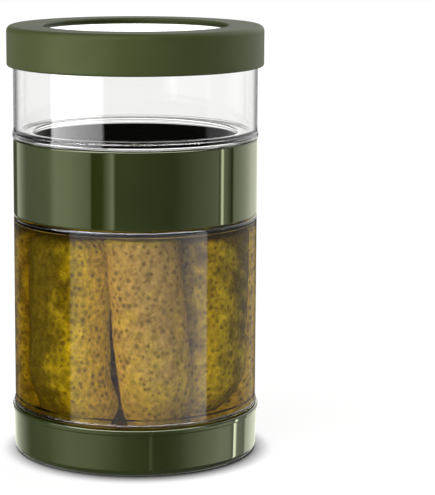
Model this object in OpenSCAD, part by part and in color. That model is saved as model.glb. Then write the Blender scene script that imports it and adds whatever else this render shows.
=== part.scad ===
// Flip-over pickle jar: two clear jars joined by a screw ring that holds a strainer.
// The jar stands on its base cap. Turned over, it stands on the boot and the brine runs into the small jar.
// Millimetres, +Z up, origin at the centre of the base cap's underside.

/* [Jars] */
// Outside diameter of both jars and of the strainer ring
body_d = 100; // [80:1:130]
// Wall of both jars
jar_wall = 3; // [2:0.1:5]
// Height of the main jar between its two shoulders
main_h = 77.9; // [50:0.1:140]
// Height of the small jar from its shoulder to its closed end
small_h = 43.6; // [28:0.1:80]
// Thickness of the small jar's closed end
small_end = 3; // [2:0.1:6]
// Rounding of the small jar's closed end
small_edge_r = 2.5; // [1:0.1:5]
// Thickness of the shoulders that join the walls to the necks
shoulder_t = 2; // [1.5:0.1:4]
// Rounding of the main jar's upper shoulder
shoulder_r = 2.4; // [1:0.1:4]
// Rounding inside both jars where the wall turns in
inner_r = 3.5; // [1:0.1:6]
// Thickness of the bead on the rim of a square shoulder
bead_h = 1.8; // [0.8:0.1:3]
// How far that bead stands out of the wall
bead_out = 0.4; // [0.2:0.1:1]

/* [Necks] */
// Step from the jar wall in to the outside of the neck
neck_step = 5.5; // [4:0.1:8]
// Wall of the necks
neck_wall = 2.8; // [2:0.1:4]
// Depth kept free round the necks for the screw thread
thread_depth = 2; // [1:0.1:3]
// Clearance outside the crest of the thread
thread_gap = 0.4; // [0.2:0.1:0.8]
// Gap left at a shoulder when a neck is screwed home
seat_gap = 0.8; // [0.3:0.1:2]

/* [Base cap] */
// Height of the base cap
cap_h = 19.3; // [14:0.1:30]
// Floor of the base cap
cap_floor = 3; // [2:0.1:5]
// How far the foot of the cap stands out past the jar wall
cap_proud = 0.2; // [0:0.1:2]
// Widening of the cap from its foot to its rim, on each side
cap_draft = 0.4; // [0.1:0.1:1.5]
// Rounding of the cap's foot
cap_edge_r = 2.5; // [1:0.1:4]
// Thickness of the bead round the cap's rim
cap_bead_h = 2.2; // [1:0.1:4]
// How far that bead stands out of the cap's side
cap_bead_out = 0.5; // [0.2:0.1:1]

/* [Seals] */
// Thickness of the sealing rings
seal_t = 1.8; // [1:0.1:3]
// Width of the sealing rings
seal_w = 7.3; // [5:0.1:12]
// How far the seals' outer edge lies inside the neck's outside
seal_inset = 0.3; // [0.2:0.1:1]
// Clearance round the seals in their nests
seal_fit = 0.3; // [0.2:0.1:0.6]
// Depth of the nest that each seal lies in
nest_h = 1.2; // [0.6:0.1:1.5]

/* [Strainer ring] */
// Height of the strainer ring
ring_h = 31.3; // [24:0.1:50]
// Thickness of the web between the two screw sockets
web_t = 2.6; // [1.6:0.1:5]
// Rounding of the ring's outer edges
ring_edge_r = 0.8; // [0.3:0.1:1.5]

/* [Strainer] */
// Thickness of the pan's flange
flange_t = 1.2; // [0.8:0.1:1.6]
// How far the flange laps over the web
flange_lap = 1.6; // [0.8:0.1:3]
// Clearance between the flange and the seal round it
flange_gap = 0.4; // [0.3:0.1:1]
// Clearance between the pan and the web
pan_fit = 0.1; // [0.05:0.05:0.3]
// Side wall of the pan
pan_wall = 1.4; // [0.8:0.1:2.5]
// Thickness of the perforated plate
plate_t = 1.6; // [1:0.1:3]
// How far the plate stands out above the web
plate_rise = 0.8; // [0:0.1:1.4]
// Diameter of the strainer's holes
hole_d = 5.4; // [3:0.1:6.4]
// Distance between the centres of neighbouring holes
hole_pitch = 7.6; // [6.8:0.1:12]
// Solid border left outside the outer holes
hole_border = 1.2; // [0.6:0.1:4]

/* [Boot] */
// Height of the boot
boot_h = 16.4; // [10:0.1:26]
// Side wall of the boot
boot_wall = 2.1; // [1.2:0.1:4]
// Clearance between the boot and the small jar
boot_fit = 0.3; // [0.2:0.05:0.5]
// Thickness of the lip over the jar's closed end
lip_t = 1.2; // [0.8:0.1:4]
// Diameter of the open window in the lip
window_d = 75.5; // [50:0.5:88]
// Rounding of the boot's outer edge
boot_edge_r = 1.8; // [0.8:0.1:3]
// Rounding of the boot's hem
hem_r = 0.9; // [0.3:0.1:1]

/* [Hidden] */
$fn = 128;
body_r = body_d / 2;
chamber_r = body_r - jar_wall;
neck_r = body_r - neck_step;
neck_bore_r = neck_r - neck_wall;
socket_r = neck_r + thread_depth + thread_gap;
cap_foot_r = body_r + cap_proud;
cap_rim_r = cap_foot_r + cap_draft;
seal_or = neck_r - seal_inset;
seal_ir = seal_or - seal_w;
nest_r = seal_or + seal_fit;
flange_r = seal_ir - flange_gap;
web_bore_r = flange_r - flange_lap;
pan_r = web_bore_r - pan_fit;
plate_r = pan_r - pan_wall;
socket_h = (ring_h - web_t) / 2;
// Heights of the faces that the pieces seat on, from the table up
cap_seal_z = cap_floor;
main_low_z = cap_seal_z + seal_t;
main_foot_z = cap_h + seat_gap;
main_top_z = main_foot_z + main_h;
ring_z = main_top_z + seat_gap;
web_z = ring_z + socket_h;
web_top_z = web_z + web_t;
main_high_z = web_z - seal_t;
ring_top_z = ring_z + ring_h;
small_low_z = web_top_z + seal_t;
small_foot_z = ring_top_z + seat_gap;
small_top_z = small_foot_z + small_h;
boot_top_z = small_top_z + lip_t;
boot_r = body_r + boot_fit + boot_wall;
// Overrun of a cut past the face that it opens
cut = 1;

// Half profile of a round body, from the axis out, with its lower and upper corner rounded
module half_body(r, z0, z1, low_r, high_r) {
  translate([0, z0 + low_r])
    square([r, z1 - high_r - z0 - low_r]);
  translate([0, z0])
    square([r - low_r, (z1 - z0) / 2]);
  translate([0, (z0 + z1) / 2])
    square([r - high_r, (z1 - z0) / 2]);
  if (low_r > 0)
    translate([r - low_r, z0 + low_r])
      circle(low_r);
  if (high_r > 0)
    translate([r - high_r, z1 - high_r])
      circle(high_r);
}

// Half profile of a round bead that stands out of a wall of radius r, on the face at z
module half_bead(r, z, height, out) {
  translate([r + out - height / 2, z + height / 2])
    circle(height / 2);
}

// Half profile of a flat ring
module half_ring(inner, outer, z0, z1) {
  translate([inner, z0])
    square([outer - inner, z1 - z0]);
}

// Sealing ring that lies on the face at z
module seal(z) {
  rotate_extrude()
    half_ring(seal_ir, seal_or, z, z + seal_t);
}

// Half profile of a screw socket that opens upwards, with the nest for its seal at the bottom
module half_socket(z0, z1) {
  half_ring(0, nest_r, z0, z1);
  half_ring(0, socket_r, z0 + nest_h, z1 + cut);
}

// Outer half profile of the base cap: a drafted side on a rounded foot
module half_cap() {
  lean = cap_draft / cap_h;
  slant = sqrt(1 + lean * lean);
  edge_x = cap_foot_r + lean * cap_edge_r - slant * cap_edge_r;
  polygon([
    [0, 0],
    [edge_x, 0],
    [edge_x + cap_edge_r / slant, cap_edge_r - cap_edge_r * lean / slant],
    [cap_rim_r, cap_h],
    [0, cap_h]
  ]);
  translate([edge_x, cap_edge_r])
    circle(cap_edge_r);
  half_bead(cap_rim_r, cap_h - cap_bead_h, cap_bead_h, cap_bead_out);
}

module base_cap() {
  color([0.20, 0.25, 0.11])
    rotate_extrude()
      difference() {
        half_cap();
        half_socket(cap_seal_z, cap_h);
      }
}

module base_cap_seal() {
  color([0.90, 0.90, 0.88])
    seal(cap_seal_z);
}

module main_jar() {
  color([0.85, 0.90, 0.90, 0.35])
    rotate_extrude()
      difference() {
        union() {
          half_ring(0, neck_r, main_low_z, main_high_z);
          half_body(body_r, main_foot_z, main_top_z, 0, shoulder_r);
          half_bead(body_r, main_foot_z, bead_h, bead_out);
        }
        half_ring(0, neck_bore_r, main_low_z - cut, main_high_z + cut);
        half_body(chamber_r, main_foot_z + shoulder_t, main_top_z - shoulder_t, inner_r, inner_r);
      }
}

module ring_lower_seal() {
  color([0.90, 0.90, 0.88])
    seal(main_high_z);
}

module strainer_ring() {
  color([0.20, 0.25, 0.11])
    rotate_extrude()
      difference() {
        half_body(body_r, ring_z, ring_top_z, ring_edge_r, ring_edge_r);
        half_ring(0, web_bore_r, web_z - cut, web_top_z + cut);
        half_socket(web_top_z, ring_top_z);
        translate([0, web_z])
          mirror([0, 1])
            half_socket(0, socket_h);
      }
}

module strainer() {
  row = hole_pitch * sqrt(3) / 2;
  reach = plate_r - hole_border - hole_d / 2;
  rows = floor(reach / row);
  columns = ceil(reach / hole_pitch);
  plate_z = web_top_z + plate_rise - plate_t;
  color([0.17, 0.22, 0.09])
    difference() {
      rotate_extrude() {
        half_ring(plate_r, flange_r, web_z - flange_t, web_z);
        half_ring(plate_r, pan_r, web_z - flange_t, web_top_z + plate_rise);
        half_ring(0, pan_r, plate_z, web_top_z + plate_rise);
      }
      for (j = [-rows : rows], i = [-columns : columns])
        let (x = (i + abs(j % 2) / 2) * hole_pitch, y = j * row)
          if (norm([x, y]) <= reach)
            translate([x, y, plate_z - cut])
              cylinder(d = hole_d, h = plate_t + 2 * cut, $fn = 32);
    }
}

module ring_upper_seal() {
  color([0.90, 0.90, 0.88])
    seal(web_top_z);
}

module small_jar() {
  color([0.85, 0.90, 0.90, 0.35])
    rotate_extrude()
      difference() {
        union() {
          half_ring(0, neck_r, small_low_z, small_foot_z + shoulder_t);
          half_body(body_r, small_foot_z, small_top_z, 0, small_edge_r);
          half_bead(body_r, small_foot_z, bead_h, bead_out);
        }
        half_ring(0, neck_bore_r, small_low_z - cut, small_foot_z + shoulder_t + inner_r);
        half_body(chamber_r, small_foot_z + shoulder_t, small_top_z - small_end, inner_r, inner_r);
      }
}

module boot() {
  color([0.26, 0.31, 0.17])
    rotate_extrude()
      difference() {
        half_body(boot_r, boot_top_z - boot_h, boot_top_z, hem_r, boot_edge_r);
        half_body(body_r + boot_fit, boot_top_z - boot_h - cut, small_top_z, 0, small_edge_r);
        half_ring(0, window_d / 2, small_top_z - cut, boot_top_z + cut);
      }
}

base_cap();
base_cap_seal();
main_jar();
ring_lower_seal();
strainer_ring();
strainer();
ring_upper_seal();
small_jar();
boot();
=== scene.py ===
import math
import random
import bpy
import numpy as np
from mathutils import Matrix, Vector, noise


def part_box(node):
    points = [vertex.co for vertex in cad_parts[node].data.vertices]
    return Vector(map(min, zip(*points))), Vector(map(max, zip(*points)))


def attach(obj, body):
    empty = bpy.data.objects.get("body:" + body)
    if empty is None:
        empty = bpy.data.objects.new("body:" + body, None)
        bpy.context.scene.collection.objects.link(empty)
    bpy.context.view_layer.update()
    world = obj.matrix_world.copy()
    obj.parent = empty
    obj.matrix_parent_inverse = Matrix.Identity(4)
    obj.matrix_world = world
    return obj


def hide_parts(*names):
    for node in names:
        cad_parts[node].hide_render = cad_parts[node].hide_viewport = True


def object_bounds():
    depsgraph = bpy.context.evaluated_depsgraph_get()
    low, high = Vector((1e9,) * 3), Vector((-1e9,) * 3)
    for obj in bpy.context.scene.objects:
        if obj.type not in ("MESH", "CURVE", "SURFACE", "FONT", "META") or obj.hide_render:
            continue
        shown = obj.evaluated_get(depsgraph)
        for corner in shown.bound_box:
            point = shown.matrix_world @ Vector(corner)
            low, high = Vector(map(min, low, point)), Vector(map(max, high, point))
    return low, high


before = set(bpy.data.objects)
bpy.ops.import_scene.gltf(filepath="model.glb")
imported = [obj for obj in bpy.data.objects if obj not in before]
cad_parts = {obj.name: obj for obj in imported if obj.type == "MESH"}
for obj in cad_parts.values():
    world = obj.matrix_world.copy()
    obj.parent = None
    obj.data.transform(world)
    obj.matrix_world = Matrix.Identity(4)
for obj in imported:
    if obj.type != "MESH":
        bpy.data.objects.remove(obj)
cadLow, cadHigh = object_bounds()
mm = 0.001
scene = bpy.context.scene
scene.view_settings.view_transform = "Standard"


def measure(node):  # outer radius, underside and top of a turned node, in millimetres
    low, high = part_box(node)
    return high.x / mm, low.z / mm, high.z / mm


capR, capLow, capHigh = measure("base_cap")
shoulderR, mainLow, mainHigh = measure("main_jar")
bodyR, ringLow, ringHigh = measure("strainer_ring")
sealR, capSealLow, capSealHigh = measure("base_cap_seal")
_, lowSealLow, lowSealHigh = measure("ring_lower_seal")
_, highSealLow, highSealHigh = measure("ring_upper_seal")
_, smallLow, smallHigh = measure("small_jar")
bootR, bootLow, bootHigh = measure("boot")
print("frame: body", round(bodyR, 2), "mm in radius,", round(bootHigh, 2), "mm tall")

# walls and fits that several pieces share, in millimetres
shared = {
    "wall": 3.0,          # glass wall
    "shoulder": 2.0,      # glass between wall and neck
    "neckStep": 5.5,      # jar wall in to the neck
    "neckWall": 2.8,
    "seatGap": 0.8,       # left at a shoulder when screwed home
    "socketGap": 2.4,     # neck out to the socket's wall
    "nestDepth": 1.2,     # recess that a seal lies in
    "nestGap": 0.3,
    "hair": 0.03,         # keeps faces that touch from lying in one plane
    "mouthRound": 0.5,    # edges of a socket: its mouth, its bottom and the seal's nest
    "socketRound": 0.3,
    "nestRound": 0.2,
    "near": 0.1,          # slack where faces are picked by their place
    "segments": 192,
}
neckR = bodyR - shared["neckStep"]
boreR = neckR - shared["neckWall"]
chamberR = bodyR - shared["wall"]
socketR = neckR + shared["socketGap"]
nestR = sealR + shared["nestGap"]
mainFoot = capHigh + shared["seatGap"]
mainTop = ringLow - shared["seatGap"]
smallFoot = ringHigh + shared["seatGap"]


def roundCorners(corners, closed, steps=5):  # (radius, height, rounding) corners to a smooth outline
    outline = []
    count = len(corners)
    for i, (r, z, rounding) in enumerate(corners):
        here = Vector((r, z))
        atEnd = not closed and i in (0, count - 1)
        if rounding <= 0 or atEnd:
            outline.append((r, z))
            continue
        before = Vector(corners[i - 1][:2]) - here
        after = Vector(corners[(i + 1) % count][:2]) - here
        half = before.angle(after) / 2
        reach = rounding / math.tan(half)
        before.normalize()
        after.normalize()
        centre = here + (before + after).normalized() * (rounding / math.sin(half))
        start, end = here + before * reach - centre, here + after * reach - centre
        turn = start.angle_signed(end)  # clockwise angle
        hold = min(0.3, rounding * 0.4)
        outline.append(tuple(centre + start + before * hold))  # keeps the flat beside the rounding flat
        for k in range(steps + 1):
            a = -turn * k / steps
            outline.append((
                centre.x + start.x * math.cos(a) - start.y * math.sin(a),
                centre.y + start.x * math.sin(a) + start.y * math.cos(a),
            ))
        outline.append(tuple(centre + end + after * hold))
    return outline


def splitRuns(outline, closed, bands, step=0.22):  # adds rows on upright runs that carry a thread
    rows = []
    count = len(outline)
    for i in range(count if closed else count - 1):
        (r0, z0), (r1, z1) = outline[i], outline[(i + 1) % count]
        rows.append((r0, z0))
        threaded = any(abs(r0 - b["root"]) < 0.01 and abs(r1 - b["root"]) < 0.01
                       and min(z0, z1) < b["high"] and max(z0, z1) > b["low"] for b in bands)
        if threaded:
            pieces = max(1, math.ceil(abs(z1 - z0) / step))
            rows += [(r0, z0 + (z1 - z0) * k / pieces) for k in range(1, pieces)]
    if not closed:
        rows.append(outline[-1])
    return rows


# right-handed single thread; it starts or ends "inset" from the neck's lip, and the ridge in the socket runs
# half a lead off it. The margins keep its rows off the ends of a neck or socket.
thread = {
    "lead": 4.0,
    "turns": 1.15,
    "depth": 1.5,
    "crest": 0.35,
    "foot": 1.2,
    "fade": 0.5,
    "inset": 2.3,
    "margin": 1.0,
    "lipMargin": 1.5,
    "nestMargin": 0.5,
}
threadRise = thread["lead"] * thread["turns"]
halfLead = thread["lead"] / 2
capThread = mainLow + thread["inset"]
ringThread = mainHigh - thread["inset"] - threadRise
smallThread = smallLow + thread["inset"]


def threadBand(root, low, high, start, outward):
    return {"root": root, "low": low, "high": high, "start": start, "outward": outward}


def threadHeight(band, z, angle):
    best = 0.0
    total = thread["turns"] * math.tau
    for lap in range(3):
        run = angle + lap * math.tau
        if run > total:
            break
        off = abs(z - band["start"] - thread["lead"] * run / math.tau)
        if off >= thread["foot"]:
            continue
        slope = min(1.0, (thread["foot"] - off) / (thread["foot"] - thread["crest"]))
        fade = min(1.0, run / thread["fade"], (total - run) / thread["fade"])
        smooth = slope * slope * (3 - 2 * slope) * max(0.0, fade)
        best = max(best, smooth)
    return best * thread["depth"] * (1 if band["outward"] else -1)


def turned(name, corners, closed, bands=(), steps=5):  # revolves an outline into a closed mesh
    outline = splitRuns(roundCorners(corners, closed, steps), closed, bands)
    around = shared["segments"]
    verts, rings = [], []
    for r, z in outline:
        if r < 1e-6:
            rings.append([len(verts)])
            verts.append((0, 0, z * mm))
            continue
        band = next((b for b in bands if abs(r - b["root"]) < 0.01 and b["low"] < z < b["high"]), None)
        rings.append(list(range(len(verts), len(verts) + around)))
        for j in range(around):
            angle = math.tau * j / around
            out = r + (threadHeight(band, z, angle) if band else 0)
            verts.append((out * mm * math.cos(angle), out * mm * math.sin(angle), z * mm))
    faces = []
    pairs = list(zip(rings, rings[1:])) + ([(rings[-1], rings[0])] if closed else [])
    for a, b in pairs:
        for j in range(around):
            k = (j + 1) % around
            if len(a) == 1:
                faces.append((a[0], b[k], b[j]))
            elif len(b) == 1:
                faces.append((a[j], a[k], b[0]))
            else:
                faces.append((a[j], a[k], b[k], b[j]))
    mesh = bpy.data.meshes.new(name)
    mesh.from_pydata(verts, [], faces)
    mesh.validate()
    mesh.polygons.foreach_set("use_smooth", [True] * len(mesh.polygons))
    piece = bpy.data.objects.new(name, mesh)
    scene.collection.objects.link(piece)
    faceOutwards(piece)
    return piece


def faceOutwards(piece):  # a closed mesh with its faces inside out has a negative volume
    mesh = piece.data
    mesh.calc_loop_triangles()
    points = np.zeros(len(mesh.vertices) * 3)
    corners = np.zeros(len(mesh.loop_triangles) * 3, int)
    mesh.vertices.foreach_get("co", points)
    mesh.loop_triangles.foreach_get("vertices", corners)
    a, b, c = points.reshape(-1, 3)[corners.reshape(-1, 3)].transpose(1, 0, 2)
    if np.sum(a * np.cross(b, c)) < 0:
        mesh.flip_normals()


def startMaterial(name):
    material = bpy.data.materials.new(name)
    material.use_nodes = True
    return material, material.node_tree, material.node_tree.nodes["Principled BSDF"]


def cloud(tree, scale, detail=2.0, stretch=(1, 1, 1), roughness=0.5):  # noise, scale in features a metre
    coords = tree.nodes.new("ShaderNodeTexCoord")
    mapping = tree.nodes.new("ShaderNodeMapping")
    mapping.inputs["Scale"].default_value = stretch
    field = tree.nodes.new("ShaderNodeTexNoise")
    field.inputs["Scale"].default_value = scale
    field.inputs["Detail"].default_value = detail
    field.inputs["Roughness"].default_value = roughness
    tree.links.new(coords.outputs["Object"], mapping.inputs["Vector"])
    tree.links.new(mapping.outputs["Vector"], field.inputs["Vector"])
    return field.outputs["Fac"]


def colours(tree, factor, stops):  # stops: (place, (r, g, b))
    ramp = tree.nodes.new("ShaderNodeValToRGB")
    elements = ramp.color_ramp.elements
    while len(elements) < len(stops):
        elements.new(0.5)
    for element, (place, colour) in zip(elements, stops):
        element.position = place
        element.color = (*colour, 1)
    tree.links.new(factor, ramp.inputs["Fac"])
    return ramp.outputs["Color"]


def spread(tree, factor, low, high, fromLow=0.3, fromHigh=0.7):  # maps a noise to a range of values
    remap = tree.nodes.new("ShaderNodeMapRange")
    for name, value in (("From Min", fromLow), ("From Max", fromHigh), ("To Min", low), ("To Max", high)):
        remap.inputs[name].default_value = value
    tree.links.new(factor, remap.inputs["Value"])
    return remap.outputs["Result"]


def sums(tree, kind, *values):  # one math step; values are numbers or sockets
    step = tree.nodes.new("ShaderNodeMath")
    step.operation = kind
    for socket, value in zip(step.inputs, values):
        if isinstance(value, (int, float)):
            socket.default_value = value
        else:
            tree.links.new(value, socket)
    return step.outputs["Value"]


def mixed(tree, factor, a, b, blend="MIX"):  # colour mix; a and b are colours or sockets
    mix = tree.nodes.new("ShaderNodeMix")
    mix.data_type = "RGBA"
    mix.blend_type = blend
    for socket, value in ((mix.inputs[0], factor), (mix.inputs[6], a), (mix.inputs[7], b)):
        if isinstance(value, (int, float)):
            socket.default_value = value
        elif isinstance(value, tuple):
            socket.default_value = (*value, 1)
        else:
            tree.links.new(value, socket)
    return mix.outputs[2]


def relief(tree, shader, height, depth, strength=1.0):  # fine surface relief, depth in metres
    bump = tree.nodes.new("ShaderNodeBump")
    bump.inputs["Strength"].default_value = strength
    bump.inputs["Distance"].default_value = depth
    tree.links.new(height, bump.inputs["Height"])
    tree.links.new(bump.outputs["Normal"], shader.inputs["Normal"])


# moulded plastic of the cap and the ring, glossy outside and dull in the sockets
greenFinish = {
    "dark": (0.0185, 0.0265, 0.0044),
    "light": (0.0225, 0.0325, 0.0058),
    "rough": {"outside": (0.0, 0.003), "socket": (0.45, 0.6)},
    "bend": {"outside": 1.5, "socket": 1.3},
}


def greenPlastic(where):
    material, tree, shader = startMaterial("greenPlastic" if where == "outside" else "greenSocket")
    mottle = cloud(tree, 45, 4)
    tree.links.new(colours(tree, mottle, ((0.35, greenFinish["dark"]), (0.65, greenFinish["light"]))),
                   shader.inputs["Base Color"])
    grain = cloud(tree, 900, 3)
    tree.links.new(spread(tree, grain, *greenFinish["rough"][where]), shader.inputs["Roughness"])
    relief(tree, shader, cloud(tree, 260, 2), 0.00002, 0.08)
    shader.inputs["IOR"].default_value = greenFinish["bend"][where]
    shader.inputs["Specular Tint"].default_value = (0.95, 1.0, 0.72, 1)
    return material


# soft matt silicone of the boot
bootFinish = {"dark": (0.052, 0.0655, 0.0195), "light": (0.061, 0.076, 0.025), "rough": (0.44, 0.56)}


def bootSilicone():
    material, tree, shader = startMaterial("bootSilicone")
    mottle = cloud(tree, 60, 5)
    tree.links.new(colours(tree, mottle, ((0.35, bootFinish["dark"]), (0.65, bootFinish["light"]))),
                   shader.inputs["Base Color"])
    grain = cloud(tree, 2600, 2)
    tree.links.new(spread(tree, grain, *bootFinish["rough"]), shader.inputs["Roughness"])
    relief(tree, shader, grain, 0.00003, 0.5)
    shader.inputs["IOR"].default_value = 1.41
    shader.inputs["Specular Tint"].default_value = (0.88, 1.0, 0.6, 1)
    shader.inputs["Sheen Weight"].default_value = 0.02
    shader.inputs["Sheen Roughness"].default_value = 0.5
    return material


# silicone of the sealing rings: pale in the cap, dark in the strainer ring, where the dark colour also stands
# for painted shade inside the ring
sealFinish = {
    "pale": {"dark": (0.70, 0.70, 0.66), "light": (0.82, 0.82, 0.79), "rough": (0.38, 0.5)},
    "dark": {"dark": (0.013, 0.017, 0.007), "light": (0.019, 0.023, 0.011), "rough": (0.5, 0.62)},
}


def sealSilicone(which):
    material, tree, shader = startMaterial(which + "Silicone")
    finish = sealFinish[which]
    tree.links.new(colours(tree, cloud(tree, 120, 3), ((0.35, finish["dark"]), (0.65, finish["light"]))),
                   shader.inputs["Base Color"])
    grain = cloud(tree, 2200, 2)
    tree.links.new(spread(tree, grain, *finish["rough"]), shader.inputs["Roughness"])
    relief(tree, shader, grain, 0.00003, 0.4)
    shader.inputs["IOR"].default_value = 1.41
    return material


# the strainer's own plastic, a shade darker than the ring
strainerFinish = {"dark": (0.020, 0.029, 0.006), "light": (0.027, 0.038, 0.009), "rough": (0.20, 0.32)}


def strainerPlastic():
    material, tree, shader = startMaterial("strainerPlastic")
    mottle = cloud(tree, 60, 4)
    tree.links.new(colours(tree, mottle, ((0.35, strainerFinish["dark"]), (0.65, strainerFinish["light"]))),
                   shader.inputs["Base Color"])
    grain = cloud(tree, 1500, 3)
    tree.links.new(spread(tree, grain, *strainerFinish["rough"]), shader.inputs["Roughness"])
    relief(tree, shader, grain, 0.00002, 0.4)
    shader.inputs["IOR"].default_value = 1.5
    return material


# clear walls of both jars, the main jar's wet inside, which only bends light against the brine, and the small
# jar's thread and underside, which light leaves straight towards the ring round them; "pass" is the share of
# lamp light that each lets in
glassFinish = {
    "tint": (0.99, 0.99, 0.982),
    "rough": (0.0, 0.004),
    "bend": {"main": 1.49, "wet": 1.112, "small": 1.49, "thread": 1.49},
    "pass": {"main": 1.0, "wet": 1.0, "small": 0.55, "thread": 0.55},
}


def lampsPass(tree, surface, share, leaving=False):  # the studio's light reaches what is behind clear walls
    path = tree.nodes.new("ShaderNodeLightPath")
    through = tree.nodes.new("ShaderNodeBsdfTransparent")
    through.inputs["Color"].default_value = (share, share, share, 1)
    mix = tree.nodes.new("ShaderNodeMixShader")
    straight = sums(tree, "MAXIMUM", path.outputs["Is Shadow Ray"], path.outputs["Is Diffuse Ray"])
    if leaving:
        side = tree.nodes.new("ShaderNodeNewGeometry")
        straight = sums(tree, "MAXIMUM", straight, side.outputs["Backfacing"])
    tree.links.new(straight, mix.inputs["Fac"])
    tree.links.new(surface, mix.inputs[1])
    tree.links.new(through.outputs["BSDF"], mix.inputs[2])
    tree.links.new(mix.outputs["Shader"], tree.nodes["Material Output"].inputs["Surface"])


def clearGlass(which):
    material, tree, shader = startMaterial(which + "Glass")
    shader.inputs["Base Color"].default_value = (*glassFinish["tint"], 1)
    shader.inputs["Transmission Weight"].default_value = 1
    shader.inputs["IOR"].default_value = glassFinish["bend"][which]
    tree.links.new(spread(tree, cloud(tree, 35, 3), *glassFinish["rough"]), shader.inputs["Roughness"])
    relief(tree, shader, cloud(tree, 28, 1, (1, 1, 0.35)), 0.0001, 0.025)  # faint waviness of the wall
    lampsPass(tree, shader.outputs["BSDF"], glassFinish["pass"][which], which == "thread")
    return material


# brine: clear, yellow with depth; light is already bent at the wet glass
brineFinish = {"bend": 1.001, "tint": (0.955, 0.87, 0.20), "density": 80.0}


def brineLiquid():
    material, tree, shader = startMaterial("brineLiquid")
    shader.inputs["Transmission Weight"].default_value = 1
    shader.inputs["IOR"].default_value = brineFinish["bend"]
    tree.links.new(spread(tree, cloud(tree, 50, 3), 0.0, 0.003), shader.inputs["Roughness"])
    tree.links.new(colours(tree, cloud(tree, 30, 3), ((0.3, (0.97, 0.95, 0.86)), (0.7, (1.0, 0.99, 0.93)))),
                   shader.inputs["Base Color"])
    lampsPass(tree, shader.outputs["BSDF"], 1.0)
    depth = tree.nodes.new("ShaderNodeVolumeAbsorption")
    depth.inputs["Color"].default_value = (*brineFinish["tint"], 1)
    depth.inputs["Density"].default_value = brineFinish["density"]
    tree.links.new(depth.outputs["Volume"], tree.nodes["Material Output"].inputs["Volume"])
    return material


# pickled skin: olive to gold to tan, with brown warts, and a painted glow
pickleFinish = {
    "olive": (0.115, 0.078, 0.004),
    "gold": (0.55, 0.395, 0.012),
    "tan": (0.42, 0.265, 0.070),
    "wart": (0.075, 0.042, 0.007),
    "rough": (0.36, 0.55),
    "bend": 1.06,  # against brine, not air
    "glow": 0.22,  # painted glow: share of the skin's own colour that it emits as light
}


def attribute(tree, name):
    read = tree.nodes.new("ShaderNodeAttribute")
    read.attribute_name = name
    return read.outputs["Fac"]


def pickleSkin():
    material, tree, shader = startMaterial("pickleSkin")
    blotch = sums(tree, "ADD", attribute(tree, "tone"), spread(tree, cloud(tree, 170, 4), -0.16, 0.16))
    shades = (pickleFinish["olive"], pickleFinish["gold"], pickleFinish["tan"])
    skin = colours(tree, blotch, tuple(zip((0.05, 0.5, 0.95), shades)))
    streak = cloud(tree, 330, 5, (1, 1, 0.75), 0.65)
    streak = colours(tree, streak, ((0.3, (0.52, 0.5, 0.4)), (0.7, (1.3, 1.3, 1.35))))
    fleck = colours(tree, cloud(tree, 1100, 3), ((0.35, (0.7, 0.68, 0.6)), (0.65, (1.18, 1.18, 1.2))))
    skin = mixed(tree, 0.85, skin, streak, "MULTIPLY")
    skin = mixed(tree, 0.8, skin, fleck, "MULTIPLY")
    skin = mixed(tree, attribute(tree, "wart"), skin, pickleFinish["wart"])
    tree.links.new(skin, shader.inputs["Base Color"])
    # painted light: the skin emits its own colour, as strongly as its painted glow attribute says
    tree.links.new(skin, shader.inputs["Emission Color"])
    tree.links.new(sums(tree, "MULTIPLY", attribute(tree, "glow"), pickleFinish["glow"]),
                   shader.inputs["Emission Strength"])
    tree.links.new(spread(tree, cloud(tree, 400, 3), *pickleFinish["rough"]), shader.inputs["Roughness"])
    relief(tree, shader, cloud(tree, 700, 4, (1, 1, 0.4)), 0.0003, 0.7)
    shader.inputs["IOR"].default_value = pickleFinish["bend"]
    return material


materials = {
    "green": greenPlastic("outside"),
    "socket": greenPlastic("socket"),
    "boot": bootSilicone(),
    "paleSeal": sealSilicone("pale"),
    "darkSeal": sealSilicone("dark"),
    "strainer": strainerPlastic(),
    "mainGlass": clearGlass("main"),
    "wetGlass": clearGlass("wet"),
    "smallGlass": clearGlass("small"),
    "threadGlass": clearGlass("thread"),
    "brine": brineLiquid(),
    "pickle": pickleSkin(),
}
print("materials:", ", ".join(materials))


def place(piece, material, body, node=None, slot=None):
    piece.data.materials.clear()
    piece.data.materials.append(materials[material])
    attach(piece, body)
    if node:
        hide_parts(node)
    return piece


def repaint(piece, material, chosen):  # second material on the faces that "chosen" picks by radius and height
    piece.data.materials.append(materials[material])
    for face in piece.data.polygons:
        x, y, z = face.center / mm
        face.material_index = 1 if chosen(math.hypot(x, y), z) else 0
    return piece


def inSocket(low, high):  # picks the faces of a socket between two heights
    return lambda r, z: r < socketR + shared["near"] and low < z < high


# screw cap that the jar stands on
cap = {
    "foot": 0.9,
    "footRound": 2.5,
    "floor": 3.0,
    "beadOut": 0.5,
    "beadHeight": 2.15,
    "beadRounds": (0.22, 0.26, 0.6),  # in the corner under the bead, then its lower and upper edge
    "glossyFoot": 2.0,                # dull only above this height
}


def makeCap():
    footR = capR - cap["foot"]
    sideR = capR - cap["beadOut"]
    beadZ = capHigh - cap["beadHeight"]
    floorZ = capLow + cap["floor"]
    nestZ = floorZ + shared["nestDepth"]
    underBead, beadLow, beadHigh = cap["beadRounds"]
    corners = [
        (0, capLow, 0),
        (footR, capLow, cap["footRound"]),
        (sideR, beadZ, underBead),
        (capR, beadZ, beadLow),
        (capR, capHigh, beadHigh),
        (socketR, capHigh, shared["mouthRound"]),
        (socketR, nestZ, shared["socketRound"]),
        (nestR, nestZ, shared["nestRound"]),
        (nestR, floorZ, shared["nestRound"]),
        (0, floorZ, 0),
    ]
    low, high = nestZ + thread["margin"], capHigh - thread["margin"]
    piece = turned("baseCap", corners, False, [threadBand(socketR, low, high, capThread + halfLead, False)])
    place(piece, "green", "base_cap", "base_cap", "green_plastic")
    return repaint(piece, "socket", inSocket(capLow + cap["glossyFoot"], capHigh - shared["socketRound"]))


# flat sealing rings
seal = {"width": 7.3, "round": 0.4}


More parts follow.
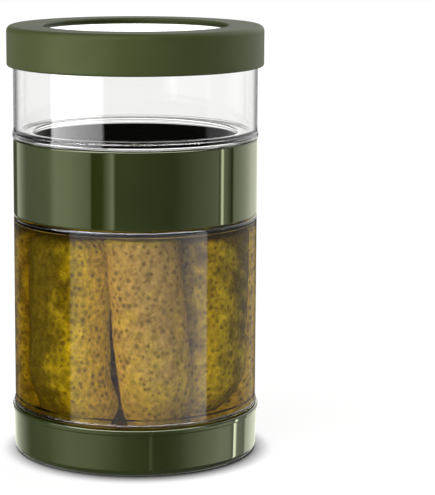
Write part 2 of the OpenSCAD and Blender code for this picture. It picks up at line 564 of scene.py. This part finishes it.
def makeSeal(name, low, high, shade, node):
    inner = sealR - seal["width"]
    hair = shared["hair"]
    corners = [
        (inner, low + hair, seal["round"]),
        (sealR, low + hair, seal["round"]),
        (sealR, high - hair, seal["round"]),
        (inner, high - hair, seal["round"]),
    ]
    return place(turned(name, corners, True), shade + "Seal", node, node, shade + "_silicone")


# clear jars
jar = {
    "bead": {"main": 0.9, "small": 1.8},  # height above the shoulder
    "beadSlope": 0.3,
    "beadRounds": (0.4, 0.3, 0.45, 0.5, 0.2),  # from the shoulder out and up to the wall
    "drop": 0.45,           # the bead's lower edge hangs this far below the shoulder
    "lift": 0.62,           # raised edge of the shoulder under the ring
    "edgeWide": (2.2, 2.8),  # both edges, where they are flat and where they meet the shoulder
    "edgeRound": 0.4,
    "shoulderRound": 1.0,
    "rootRound": 0.5,       # between neck and shoulder
    "innerRound": 1.0,
    "lipRound": 1.0,
    "neckRound": 1.2,
    "endRound": 2.5,
    "steps": 7,
}
flatR, slopeR = (bodyR - wide for wide in jar["edgeWide"])


def beadCorners(foot, tall):  # from under the shoulder out round the bead to the wall
    low, high = foot - jar["drop"], foot + tall
    wall = (bodyR, high + jar["beadSlope"])
    places = [(slopeR, foot), (flatR, low), (shoulderR, low), (shoulderR, high), wall]
    return [(*spot, rounding) for spot, rounding in zip(places, jar["beadRounds"])]


def isWet(r, z):  # faces of the main jar that the brine touches
    room = chamberR if z > mainFoot else boreR
    high = mainTop - shared["shoulder"] + shared["near"]
    return r < room + shared["near"] and mainLow + jar["lipRound"] < z < high


def makeMainJar():
    shoulder = shared["shoulder"]
    corners = [
        (boreR, mainLow, jar["lipRound"]),
        (neckR, mainLow, jar["lipRound"]),
        (neckR, mainFoot, jar["rootRound"]),
        *beadCorners(mainFoot, jar["bead"]["main"]),
        (bodyR, mainTop + jar["lift"], jar["shoulderRound"]),
        (flatR, mainTop + jar["lift"], jar["edgeRound"]),
        (slopeR, mainTop, jar["edgeRound"]),
        (neckR, mainTop, jar["rootRound"]),
        (neckR, mainHigh, jar["lipRound"]),
        (boreR, mainHigh, jar["lipRound"]),
        (boreR, mainTop - shoulder, jar["neckRound"]),
        (chamberR, mainTop - shoulder, jar["innerRound"]),
        (chamberR, mainFoot + shoulder, jar["innerRound"]),
        (boreR, mainFoot + shoulder, jar["neckRound"]),
    ]
    lip, margin = thread["lipMargin"], thread["margin"]
    bands = [
        threadBand(neckR, mainLow + lip, mainFoot - margin, capThread, True),
        threadBand(neckR, mainTop + margin, mainHigh - lip, ringThread, True),
    ]
    piece = turned("mainJar", corners, True, bands, jar["steps"])
    place(piece, "mainGlass", "main_jar", "main_jar", "clear_glass")
    return repaint(piece, "wetGlass", isWet)


def makeSmallJar():
    wall, shoulder = shared["wall"], shared["shoulder"]
    corners = [
        (0, smallHigh - wall, 0),
        (chamberR, smallHigh - wall, jar["innerRound"]),
        (chamberR, smallFoot + shoulder, jar["innerRound"]),
        (boreR, smallFoot + shoulder, jar["innerRound"]),
        (boreR, smallLow, jar["lipRound"]),
        (neckR, smallLow, jar["lipRound"]),
        (neckR, smallFoot, jar["rootRound"]),
        *beadCorners(smallFoot, jar["bead"]["small"]),
        (bodyR, smallHigh, jar["endRound"]),
        (0, smallHigh, 0),
    ]
    low, high = smallLow + thread["lipMargin"], smallFoot - thread["margin"]
    bands = [threadBand(neckR, low, high, smallThread, True)]
    piece = turned("smallJar", corners, False, bands, jar["steps"])
    place(piece, "smallGlass", "small_jar", "small_jar", "clear_glass")
    under = smallFoot - shared["hair"]
    return repaint(piece, "threadGlass", lambda r, z: r > boreR + shared["near"] and z < under)


# ring with a screw socket on each side of the web that holds the strainer
ring = {"edgeRound": {"low": 0.4, "high": 0.5}, "webBore": 34.9, "webRound": 0.3}


def makeRing():
    webLow, webHigh = lowSealHigh, highSealLow
    nestLow, nestHigh = webLow - shared["nestDepth"], webHigh + shared["nestDepth"]
    mouth, bottom, nest = shared["mouthRound"], shared["socketRound"], shared["nestRound"]
    corners = [
        (bodyR, ringLow, ring["edgeRound"]["low"]),
        (bodyR, ringHigh, ring["edgeRound"]["high"]),
        (socketR, ringHigh, mouth),
        (socketR, nestHigh, bottom),
        (nestR, nestHigh, nest),
        (nestR, webHigh, nest),
        (ring["webBore"], webHigh, ring["webRound"]),
        (ring["webBore"], webLow, ring["webRound"]),
        (nestR, webLow, nest),
        (nestR, nestLow, nest),
        (socketR, nestLow, bottom),
        (socketR, ringLow, mouth),
    ]
    margin, inner = thread["margin"], thread["nestMargin"]
    bands = [
        threadBand(socketR, ringLow + margin, nestLow - inner, ringThread - halfLead, False),
        threadBand(socketR, nestHigh + inner, ringHigh - margin, smallThread + halfLead, False),
    ]
    piece = turned("strainerRing", corners, True, bands)
    place(piece, "green", "strainer_ring", "strainer_ring", "green_plastic")
    return repaint(piece, "socket", inSocket(ringLow + bottom, ringHigh - bottom))


# soft boot over the small jar's closed end
boot = {
    "window": 37.75,
    "fit": 2.1,
    "hemRounds": (0.6, 0.9),  # inside and outside
    "edgeRound": 2.3,
    "lipRound": 0.82,
    "innerRound": 2.4,
    "steps": 8,
}


def makeBoot():
    innerR = bootR - boot["fit"]
    under = smallHigh + shared["hair"]
    hemIn, hemOut = boot["hemRounds"]
    corners = [
        (innerR, bootLow, hemIn),
        (bootR, bootLow, hemOut),
        (bootR, bootHigh, boot["edgeRound"]),
        (boot["window"], bootHigh, boot["lipRound"]),
        (boot["window"], under, 0),
        (innerR, under, boot["innerRound"]),
    ]
    piece = turned("boot", corners, True, steps=boot["steps"])
    return place(piece, "boot", "boot", "boot", "green_silicone")


makeCap()
makeSeal("baseCapSeal", capSealLow, capSealHigh, "pale", "base_cap_seal")
makeSeal("ringLowerSeal", lowSealLow, lowSealHigh, "dark", "ring_lower_seal")
makeSeal("ringUpperSeal", highSealLow, highSealHigh, "dark", "ring_upper_seal")
makeMainJar()
makeSmallJar()
makeRing()
makeBoot()
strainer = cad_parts["strainer"]
strainer.data.materials.clear()
strainer.data.materials.append(materials["strainer"])

# brine fills the main jar's chamber to its ceiling; it reaches a hair into the glass, so no air lies between
brine = {"overlap": 0.15, "belowCeiling": 0.1, "aboveLip": 0.1, "footRound": 0.4}


def makeBrine():
    into, shoulder = brine["overlap"], shared["shoulder"]
    level = mainTop - shoulder - brine["belowCeiling"]
    foot = mainLow + brine["aboveLip"]
    corners = [
        (0, foot, 0),
        (boreR + into, foot, brine["footRound"]),
        (boreR + into, mainFoot + shoulder - into, jar["neckRound"] - into),
        (chamberR + into, mainFoot + shoulder - into, jar["innerRound"] + into),
        (chamberR + into, level, jar["innerRound"]),
        (0, level, 0),
    ]
    return place(turned("brine", corners, False, steps=jar["steps"]), "brine", "main_jar")


makeBrine()

# gherkins round the wall and in the middle: direction in degrees from the front (right is plus) of foot and
# top, distance of the middle from the axis, thickness (radius), heights of both ends and how far each end is
# rounded, tone from olive (0) to tan (1) at foot and top, the side with painted light (lighter tone there,
# darker opposite) and by how much, and the painted glow of that side
gherkins = {
    "seed": 11,
    "around": 210,
    "along": 260,
    "wartGap": 3.0,
    "wartLoose": 0.9,
    "wartSkip": 0.12,
    "wartSize": (0.5, 1.05),
    "wartTall": (0.1, 0.25),
    "wartDark": (0.25, 0.4, 0.6, 0.8),
    "wartOval": (0.85, 1.25),
    "wartReach": 5.0,
    "wartEdge": (1.7, 0.4),  # in wart sizes: where its colour begins, and where it is full
    "sides": (3, 0.025),     # how many, and their share of the thickness
    "ribs": (11, 0.006),
    "swell": 0.9,            # slow swelling of the skin, which also shifts its tone
    "swellSize": (1.3, 17.0),
    "swellTone": 0.16,
    "shade": {"below": 7.0, "over": 4.0, "tone": 0.6},  # painted shade on the gherkins' tops under the shoulder
    "blunt": 2.5,  # power of the rounded ends
    "clear": 0.5,  # kept free of the glass
    "bend": 5.4,   # drawn in at the necks
    "bendOver": 17.0,
    "rows": [
        {"foot": -50, "top": -51, "out": 31.8, "thick": 15.4, "low": 7, "high": 95.5, "ends": (30, 10),
         "tones": (0.34, 0.15), "paintedLitSide": 78, "paintedLightSwing": 0.33, "glow": 1.6},
        {"foot": 19, "top": 3, "out": 33.0, "thick": 13.7, "low": 6, "high": 95.6, "ends": (42, 3),
         "tones": (0.46, 1.0), "paintedLitSide": -20, "paintedLightSwing": 0.12, "glow": 0.05},
        {"foot": 54, "top": 59, "out": 32.9, "thick": 14.9, "low": 19, "high": 95.6, "ends": (26, 3),
         "tones": (0.37, 0.12), "paintedLitSide": -40, "paintedLightSwing": 0.1, "glow": 0.7},
        {"foot": 106, "top": 110, "out": 33.4, "thick": 13.2, "low": 8, "high": 95.4, "ends": (12, 6),
         "tones": (0.55, 0.4), "paintedLitSide": 20, "paintedLightSwing": 0.1, "glow": 1.7},
        {"foot": 156, "top": 156, "out": 33.4, "thick": 13.2, "low": 9, "high": 94, "ends": (12, 8),
         "tones": (0.5, 0.4), "paintedLitSide": 140, "paintedLightSwing": 0.2, "glow": 0.3},
        {"foot": 205, "top": 204, "out": 33.4, "thick": 13.4, "low": 7, "high": 95.4, "ends": (12, 8),
         "tones": (0.3, 0.6), "paintedLitSide": 190, "paintedLightSwing": 0.2, "glow": 0.3},
        {"foot": 257, "top": 253, "out": 33.4, "thick": 13.4, "low": 8, "high": 95.4, "ends": (12, 6),
         "tones": (0.17, 0.08), "paintedLitSide": 270, "paintedLightSwing": 0.08, "glow": 0.1},
        # the two in the middle are dark olive, a tone that also paints the shade seen in the gaps between the
        # outer ones
        {"foot": 20, "top": 60, "out": 9.0, "thick": 10.2, "low": 7, "high": 93, "ends": (10, 8),
         "tones": (0.1, 0.1), "paintedLitSide": 0, "paintedLightSwing": 0.05, "glow": 0.0},
        {"foot": 200, "top": 235, "out": 9.0, "thick": 10.2, "low": 9, "high": 94, "ends": (10, 8),
         "tones": (0.1, 0.1), "paintedLitSide": 0, "paintedLightSwing": 0.05, "glow": 0.0},
    ],
}


def smoothStep(x):
    x = np.clip(x, 0, 1)
    return x * x * (3 - 2 * x)


def gherkinLine(row):  # points of the bowed centre line, each with its thickness
    t = np.linspace(0, 1, 61)
    turn = np.radians(row["foot"] + (row["top"] - row["foot"]) * t)
    z = row["low"] + (row["high"] - row["low"]) * t
    reach = gherkins["bendOver"]
    inNeck = smoothStep((mainFoot + reach - z) / reach)
    byWall = row["out"] > row["thick"]
    out = row["out"] - (gherkins["bend"] * inNeck if byWall else 0)
    footEnd, topEnd = row["ends"]
    near = np.maximum((row["low"] + footEnd - z) / footEnd, (z - row["high"] + topEnd) / topEnd)
    girth = row["thick"] * np.sqrt(1 - np.clip(near, 0, 1) ** gherkins["blunt"])
    return np.stack([out * np.sin(turn), -out * np.cos(turn), z, girth], 1)


def roomAt(z):  # free radius inside the main jar at a height
    low, high, curve = mainFoot + shared["shoulder"], mainTop - shared["shoulder"], jar["innerRound"]
    edge = np.minimum(z - low, high - z)
    short = curve - np.clip(edge, 0, curve)
    curved = chamberR - curve + np.sqrt(curve ** 2 - short ** 2)
    return np.where(edge > 0, np.maximum(curved, boreR), boreR) - gherkins["clear"]


def scatterWarts(rng, girth, low, high):  # places on the unrolled skin: a loose grid with gaps
    loose, columns = gherkins["wartLoose"], round(girth / gherkins["wartGap"])
    rise = gherkins["wartGap"] * 0.87
    spots = []
    for i in range(int((high - low) / rise)):
        for j in range(columns):
            s = (j + 0.5 * (i % 2)) * girth / columns + rng.uniform(-loose, loose)
            z = low + (i + 0.5) * rise + rng.uniform(-loose, loose)
            if rng.random() > gherkins["wartSkip"]:
                spots.append((s % girth, z))
    return spots


def pressFlat(points, own, lines, index):  # soft flats where two gherkins press on each other
    for other, line in enumerate(lines):
        if other == index:
            continue
        centre = np.stack([np.interp(points[:, 2], line[:, 2], line[:, k]) for k in (0, 1)], 1)
        girth = np.interp(points[:, 2], line[:, 2], line[:, 3], 0, 0)
        sink = np.clip(girth + 0.1 - np.linalg.norm(points[:, :2] - centre, axis=1), 0, None)
        inward = own[:, :2] - points[:, :2]
        reach = np.maximum(np.linalg.norm(inward, axis=1), 0.01)
        points[:, :2] += inward * np.clip(sink * 0.55 / reach, 0, 0.7)[:, None]


def pressGlass(points):  # eased against the wall of the jar
    out = np.linalg.norm(points[:, :2], axis=1)
    room = roomAt(points[:, 2])
    over = np.clip(out - room, -8, 8)
    eased = room - np.log1p(np.exp(-over * 3)) / 3
    points[:, :2] *= (np.minimum(eased, out) / np.maximum(out, 1e-6))[:, None]


def makeGherkin(index, row, lines):
    rng = random.Random(gherkins["seed"] * 100 + index)
    around, along = gherkins["around"], gherkins["along"]
    even = np.linspace(0, 1, along + 1)
    t = 0.5 * even + 0.25 * (1 - np.cos(math.pi * even))  # rows close up at the ends
    line = lines[index]
    axis = np.stack([np.interp(t, np.linspace(0, 1, len(line)), line[:, k]) for k in range(4)], 1)
    height, girth = axis[:, 2:3], axis[:, 3:4]
    share = girth / row["thick"]
    angle = np.linspace(0, math.tau, around, endpoint=False)[None, :]
    phase = rng.uniform(0, math.tau)
    wide, long = gherkins["swellSize"]
    swell = np.array([[noise.noise((wide * math.cos(a) + index * 7, wide * math.sin(a), z / long))
                       for a in angle[0]] for z in height[:, 0]])
    (sides, sideShare), (ribs, ribShare) = gherkins["sides"], gherkins["ribs"]
    radius = girth * (1 + sideShare * np.cos(sides * angle + phase) + ribShare * np.cos(ribs * angle))
    radius += gherkins["swell"] * swell * share
    wayRound = math.tau * row["thick"]
    wart = np.zeros_like(radius)
    begins, full = gherkins["wartEdge"]
    reach = gherkins["wartReach"]
    for s, z in scatterWarts(rng, wayRound, row["low"] + 1, row["high"] - 1):
        size, tall = rng.uniform(*gherkins["wartSize"]), rng.uniform(*gherkins["wartTall"])
        dark = rng.choice(gherkins["wartDark"])
        near = slice(*np.searchsorted(height[:, 0], (z - reach, z + reach)))
        side = np.abs(angle * row["thick"] - s)
        side = np.minimum(side, wayRound - side) * rng.uniform(*gherkins["wartOval"])
        far = np.sqrt(side ** 2 + (height[near] - z) ** 2) / size
        radius[near] += tall * np.exp(-0.5 * far ** 2) * share[near]
        wart[near] = np.maximum(wart[near], dark * smoothStep((begins - far) / (begins - full)))
    points = np.stack([axis[:, 0:1] + radius * np.cos(angle), axis[:, 1:2] + radius * np.sin(angle),
                       height + 0 * angle], 2)[1:along].reshape(-1, 3)
    own = np.repeat(axis[1:along, :3], around, 0)
    pressFlat(points, own, lines, index)
    pressGlass(points)
    rows = along - 1
    grid = np.arange(rows * around).reshape(rows, around)
    turnedGrid = np.roll(grid, -1, 1)
    faces = np.stack([grid[:-1], turnedGrid[:-1], turnedGrid[1:], grid[1:]], 2).reshape(-1, 4).tolist()
    lowPole, highPole = rows * around, rows * around + 1
    faces += [(lowPole, turnedGrid[0, j], grid[0, j]) for j in range(around)]
    faces += [(highPole, grid[-1, j], turnedGrid[-1, j]) for j in range(around)]
    verts = np.concatenate([points, axis[[0, -1], :3]]) * mm
    mesh = bpy.data.meshes.new(f"gherkin{index + 1}")
    mesh.from_pydata(verts.tolist(), [], faces)
    mesh.polygons.foreach_set("use_smooth", [True] * len(mesh.polygons))
    piece = bpy.data.objects.new(mesh.name, mesh)
    scene.collection.objects.link(piece)
    faceOutwards(piece)
    footTone, topTone = row["tones"]
    # painted light and shade: the row's lit side gets a lighter tone and more glow, the far side a darker
    # tone
    side = np.tanh(2 * np.cos(angle - math.radians(row["paintedLitSide"] - 90)))
    # painted shade: the tops turn darker and lose their glow under the shoulder
    dim = gherkins["shade"]
    shade = smoothStep((height - mainTop + dim["below"]) / dim["over"])
    tone = footTone + (topTone - footTone) * t[:, None] + gherkins["swellTone"] * swell
    tone += row["paintedLightSwing"] * side - dim["tone"] * shade
    glow = row["glow"] * (0.5 + 0.5 * side) * (1 - shade)
    for name, field in (("tone", tone), ("wart", wart), ("glow", glow)):
        layer = mesh.attributes.new(name, "FLOAT", "POINT")
        layer.data.foreach_set("value", np.concatenate([field[1:along].ravel(), field[0, :1], field[-1, :1]]))
    return place(piece, "pickle", "main_jar")


centreLines = [gherkinLine(row) for row in gherkins["rows"]]
for index, row in enumerate(gherkins["rows"]):
    makeGherkin(index, row, centreLines)
print("contents:", len(gherkins["rows"]), "gherkins in brine")

# camera fitted to the photograph's view, which has the jar left of the middle
view = {"distance": 0.84886, "height": 0.23643, "pitch": 0.178, "pixels": 2084.9, "axisAt": 135.3}
photoWidth, photoHeight = 435, 495

# studio: soft lamps on a dome above, and walls of light panels round the object below the horizon, where its
# upright sides mirror them. A panel runs between two directions in degrees from the front (right is plus),
# with its level at both ends. Each tier of panels ends at the height of the jar, in millimetres, that mirrors
# its upper edge. Heights on the dome are those of a direction of length 1.
studio = {
    "fill": 0.04,
    "lamps": [
        {"azimuth": -45, "elevation": 30, "level": 2.6, "edge": 0.6},   # key, front left
        {"azimuth": 125, "elevation": 25, "level": 1.7, "edge": 0.6},   # rim, back right
    ],
    "backdrop": {"azimuth": 180, "elevation": 12, "level": 2.2, "edge": 0.87},
    "below": 0.3,   # light from the ground
    "ground": (-0.42, -0.32),
    "horizon": (-0.005, 0.015),
    "inside": 1.5,  # most that a panel shows in a mirror image inside the clear walls
    "sheen": 0.3,   # share of the backdrop that matt surfaces mirror
    # long lamp above the camera, for polished edges
    "strip": {"low": 0.25, "high": 0.8, "soft": 0.05, "width": 0.25, "sideSoft": 0.15, "level": 14},
    "brightest": 10,  # panel level that is white in a ramp of colours, which stops at 1
    "tierSoft": 0.3,
    "tiers": [
        {"upTo": 19.7, "tint": (0.96, 1.0, 0.82), "panels": [
            (-180, -155, 1.4, 1.3), (-140, -133, 1.0, 0.8), (-120, -114, 0.3, 0.3), (-90, -84, 0.6, 0.9),
            (-66, -41, 1.6, 1.6), (-18, -10, 0.8, 0.5), (5, 13, 0.3, 0.3), (13.5, 15, 1.0, 1.0),
            (16, 30, 0.25, 0.3), (42, 51, 0.6, 1.2), (68, 88, 2.0, 2.5), (101, 107, 2.0, 0.8),
            (108, 110, 10, 10), (113, 127, 1.4, 0.7), (130, 145, 2.3, 2.2), (160, 180, 1.5, 1.2),
        ]},
        {"upTo": 98.4, "panels": [
            (-180, -150, 0.1, 0.1), (-147, -145, 0.2, 0.05), (-120, -64, 0.02, 0.02), (-63, -40, 1.25, 1.1),
            (0, 40, 1.0, 1.2), (60, 71, 2.2, 2.5), (71.5, 110, 0.3, 0.3), (125, 150, 0.4, 0.4),
            (160, 180, 0.1, 0.1),
        ]},
        {"upTo": 130.5, "tint": (0.96, 1.0, 0.82), "panels": [
            (-180, -151, 0.1, 0.1), (-145, -142, 1.3, 1.2), (-125, -118, 0.5, 0.5), (-92, -88, 1.0, 1.2),
            (-80, -64, 2.5, 2.6), (-48, -42.5, 1.9, 1.5), (-41, -31, 0.0, 0.1), (-25, -20.5, 1.7, 3.4),
            (-19, 0, 0.4, 0.4), (36, 54, 0.3, 0.9), (83, 84.5, 1.6, 1.4), (85.5, 87, 0.4, 0.4),
            (87.7, 89.8, 9.5, 9.5), (91, 103, 1.9, 0.0), (106, 140, 1.5, 2.0), (156, 180, 1.3, 0.9),
        ]},
        {"upTo": 150.5, "panels": [
            (-180, -171, 1.0, 1.0), (-165, -161, 0.4, 0.1), (-157, -154, 0.1, 0.3), (-149, -140, 0.6, 1.0),
            (-90, -85, 0.2, 0.2), (-83.5, -31, 10, 4.0), (-30, 71, 0.03, 0.03), (72, 90, 0.5, 0.5),
            (108, 140, 1.0, 1.0), (150, 156, 0.8, 0.5), (160, 165, 0.2, 0.03), (171, 180, 1.0, 1.0),
        ]},
        {"upTo": 1000, "panels": [
            (-180, -171, 1.0, 1.0), (-165, -161, 0.4, 0.1), (-157, -154, 0.1, 0.3), (-149, -140, 0.6, 1.0),
            (-90, -85, 0.2, 0.2), (-83.5, -31, 10, 4.0), (-30, 33, 0.03, 0.03), (34, 38, 0.8, 0.8),
            (39, 71, 0.03, 0.03), (72, 90, 0.5, 0.5), (108, 140, 1.0, 1.0), (150, 156, 0.8, 0.5),
            (160, 165, 0.2, 0.03), (171, 180, 1.0, 1.0),
        ]},
    ],
}


def panelRamp(tree, factor, tier):  # light runs straight from one panel's edge to the next
    tint = tier.get("tint", (1, 1, 1))
    stops = []
    for start, end, first, last in tier["panels"]:
        for angle, level in ((start, first), (end, last)):
            stops.append(((angle + 180) / 360, tuple(level / studio["brightest"] * c for c in tint)))
    return colours(tree, factor, stops)


def lampPatch(tree, direction, lamp):  # soft round patch of light on the dome
    a, e = math.radians(lamp["azimuth"]), math.radians(lamp["elevation"])
    towards = tree.nodes.new("ShaderNodeVectorMath")
    towards.operation = "DOT_PRODUCT"
    tree.links.new(direction, towards.inputs[0])
    towards.inputs[1].default_value = (math.sin(a) * math.cos(e), -math.cos(a) * math.cos(e), math.sin(e))
    patch = tree.nodes.new("ShaderNodeMapRange")
    patch.interpolation_type = "SMOOTHSTEP"
    patch.inputs["From Min"].default_value = lamp["edge"]
    patch.inputs["To Max"].default_value = lamp["level"]
    tree.links.new(towards.outputs["Value"], patch.inputs["Value"])
    return patch.outputs["Result"]


def straightLook(tree):  # 1 for a look at the backdrop, also through clear walls, but not in a mirror image
    path = tree.nodes.new("ShaderNodeLightPath")
    through = sums(tree, "MULTIPLY", path.outputs["Is Transmission Ray"],
                   sums(tree, "LESS_THAN", path.outputs["Glossy Depth"], 0.5))
    return sums(tree, "MAXIMUM", path.outputs["Is Camera Ray"], through)


def stripLamp(tree, z, ahead):  # band of light between two heights on the dome, only in polished surfaces
    strip = studio["strip"]
    soft = strip["soft"]
    path = tree.nodes.new("ShaderNodeLightPath")
    rise = sums(tree, "MULTIPLY", spread(tree, z, 0, 1, strip["low"], strip["low"] + soft),
                spread(tree, z, 1, 0, strip["high"] - soft, strip["high"]))
    wide = spread(tree, ahead, 0, 1, strip["width"], strip["width"] + strip["sideSoft"])
    patch = sums(tree, "MULTIPLY", sums(tree, "MULTIPLY", rise, wide), strip["level"])
    polished = sums(tree, "MULTIPLY", path.outputs["Is Glossy Ray"], path.outputs["Is Singular Ray"])
    return sums(tree, "MULTIPLY", patch, polished)


def unlessMirrored(tree, walls):  # 0 for a mirror image that is seen through more than so many clear surfaces
    path = tree.nodes.new("ShaderNodeLightPath")
    mirrored = sums(tree, "GREATER_THAN", path.outputs["Glossy Depth"], 0.5)
    deep = sums(tree, "GREATER_THAN", path.outputs["Transmission Depth"], walls + 0.5)
    return sums(tree, "SUBTRACT", 1.0, sums(tree, "MULTIPLY", mirrored, deep))


def roughMirror(tree):  # 1 for a mirror image in a surface that isn't polished
    path = tree.nodes.new("ShaderNodeLightPath")
    return sums(tree, "MULTIPLY", path.outputs["Is Glossy Ray"],
                sums(tree, "SUBTRACT", 1.0, path.outputs["Is Singular Ray"]))


def scaled(tree, vector, share):
    step = tree.nodes.new("ShaderNodeVectorMath")
    step.operation = "SCALE"
    tree.links.new(vector, step.inputs[0])
    if isinstance(share, (int, float)):
        step.inputs["Scale"].default_value = share
    else:
        tree.links.new(share, step.inputs["Scale"])
    return step.outputs["Vector"]


def makeStudio():
    world = bpy.data.worlds.new("studio")
    scene.world = world
    world.use_nodes = True
    tree = world.node_tree
    direction = tree.nodes.new("ShaderNodeTexCoord").outputs["Generated"]
    split = tree.nodes.new("ShaderNodeSeparateXYZ")
    tree.links.new(direction, split.inputs["Vector"])
    x, y, z = split.outputs
    back = sums(tree, "MULTIPLY", y, -1.0)
    around = sums(tree, "ADD", sums(tree, "DIVIDE", sums(tree, "ARCTAN2", x, back), math.tau), 0.5)
    flat = sums(tree, "SQRT", sums(tree, "ADD", sums(tree, "MULTIPLY", x, x), sums(tree, "MULTIPLY", y, y)))
    slope = sums(tree, "DIVIDE", z, flat)
    halfTurn = sums(tree, "SQRT", sums(tree, "MULTIPLY_ADD", sums(tree, "DIVIDE", back, flat), 0.5, 0.5))
    gap = sums(tree, "SUBTRACT", view["distance"] / mm, sums(tree, "MULTIPLY", halfTurn, bodyR))
    height = sums(tree, "MULTIPLY_ADD", slope, gap, view["height"] / mm)
    light = None
    for tier, under in zip(studio["tiers"], [None] + studio["tiers"]):
        panels = panelRamp(tree, around, tier)
        if under:
            edge, soft = under["upTo"], studio["tierSoft"]
            panels = mixed(tree, spread(tree, height, 0, 1, edge - soft, edge + soft), light, panels)
        light = panels
    dome = sums(tree, "ADD", stripLamp(tree, z, sums(tree, "DIVIDE", back, flat)), studio["fill"])
    for lamp in studio["lamps"]:
        dome = sums(tree, "ADD", lampPatch(tree, direction, lamp), dome)
    dome = sums(tree, "MULTIPLY", dome, unlessMirrored(tree, 0))
    behind = sums(tree, "MULTIPLY", lampPatch(tree, direction, studio["backdrop"]),
                  spread(tree, roughMirror(tree), 1, studio["sheen"], 0, 1))
    dome = sums(tree, "ADD", dome, behind)
    light = scaled(tree, light, studio["brightest"])
    dimmed = mixed(tree, 1.0, light, (studio["inside"],) * 3, "DARKEN")
    light = mixed(tree, unlessMirrored(tree, 0), dimmed, light)
    light = mixed(tree, spread(tree, z, 1, 0, *studio["ground"]), light, (studio["below"],) * 3)
    light = mixed(tree, spread(tree, z, 0, 1, *studio["horizon"]), light, dome)
    light = scaled(tree, light, unlessMirrored(tree, 4))
    light = mixed(tree, straightLook(tree), light, (1.0, 1.0, 1.0))
    tree.links.new(light, tree.nodes["Background"].inputs["Color"])


# white paper; its own light keeps it white, and a painted shadow takes that light away close to the object,
# where ambient occlusion finds it; its faint grey colour also takes the object's real shadow. The lean points
# away from the side where the painted shadow is darkest
floor = {
    "size": 6.0,
    "colour": (0.2, 0.2, 0.2),
    "lift": 0.88,
    "corner": 0.015,
    "fade": (0.38, 0.76),
    "lean": (-0.08, 0.3, 0.95),
}


def makeFloor():
    half = floor["size"] / 2
    corners = [(-half, -half, 0), (half, -half, 0), (half, half, 0), (-half, half, 0)]
    mesh = bpy.data.meshes.new("floor")
    mesh.from_pydata(corners, [], [(0, 1, 2, 3)])
    plane = bpy.data.objects.new("floor", mesh)
    scene.collection.objects.link(plane)
    plane.location.z = cadLow.z - 0.0001
    plane.visible_glossy = plane.visible_diffuse = plane.visible_shadow = False  # the panels run on below it
    material, tree, shader = startMaterial("floorPaper")
    shader.inputs["Base Color"].default_value = (*floor["colour"], 1)
    shader.inputs["Specular IOR Level"].default_value = 0
    shader.inputs["Emission Color"].default_value = (1, 1, 1, 1)
    # painted shadow: ambient occlusion dims the floor's own light close to the object
    corner = tree.nodes.new("ShaderNodeAmbientOcclusion")
    corner.inputs["Distance"].default_value = floor["corner"]
    lean = tree.nodes.new("ShaderNodeCombineXYZ")
    for socket, value in zip(lean.inputs, floor["lean"]):
        socket.default_value = value
    tree.links.new(lean.outputs["Vector"], corner.inputs["Normal"])
    tree.links.new(spread(tree, corner.outputs["AO"], 0, floor["lift"], *floor["fade"]),
                   shader.inputs["Emission Strength"])
    away = tree.nodes.new("ShaderNodeBsdfTransparent")
    mix = tree.nodes.new("ShaderNodeMixShader")
    tree.links.new(straightLook(tree), mix.inputs["Fac"])
    tree.links.new(away.outputs["BSDF"], mix.inputs[1])
    tree.links.new(shader.outputs["BSDF"], mix.inputs[2])
    tree.links.new(mix.outputs["Shader"], tree.nodes["Material Output"].inputs["Surface"])
    mesh.materials.append(material)
    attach(plane, "base_cap")  # the cap stays on it when the jar is screwed off


def makeCamera():
    data = bpy.data.cameras.new("camera")
    data.sensor_width = 36
    data.lens = view["pixels"] * data.sensor_width / photoHeight
    data.shift_x = (photoWidth / 2 - view["axisAt"]) / photoHeight
    camera = bpy.data.objects.new("camera", data)
    camera.location = (0, -view["distance"], view["height"])
    camera.rotation_euler = (math.pi / 2 - view["pitch"], 0, 0)
    scene.collection.objects.link(camera)
    scene.camera = camera


makeStudio()
makeFloor()
makeCamera()
print("studio ready")
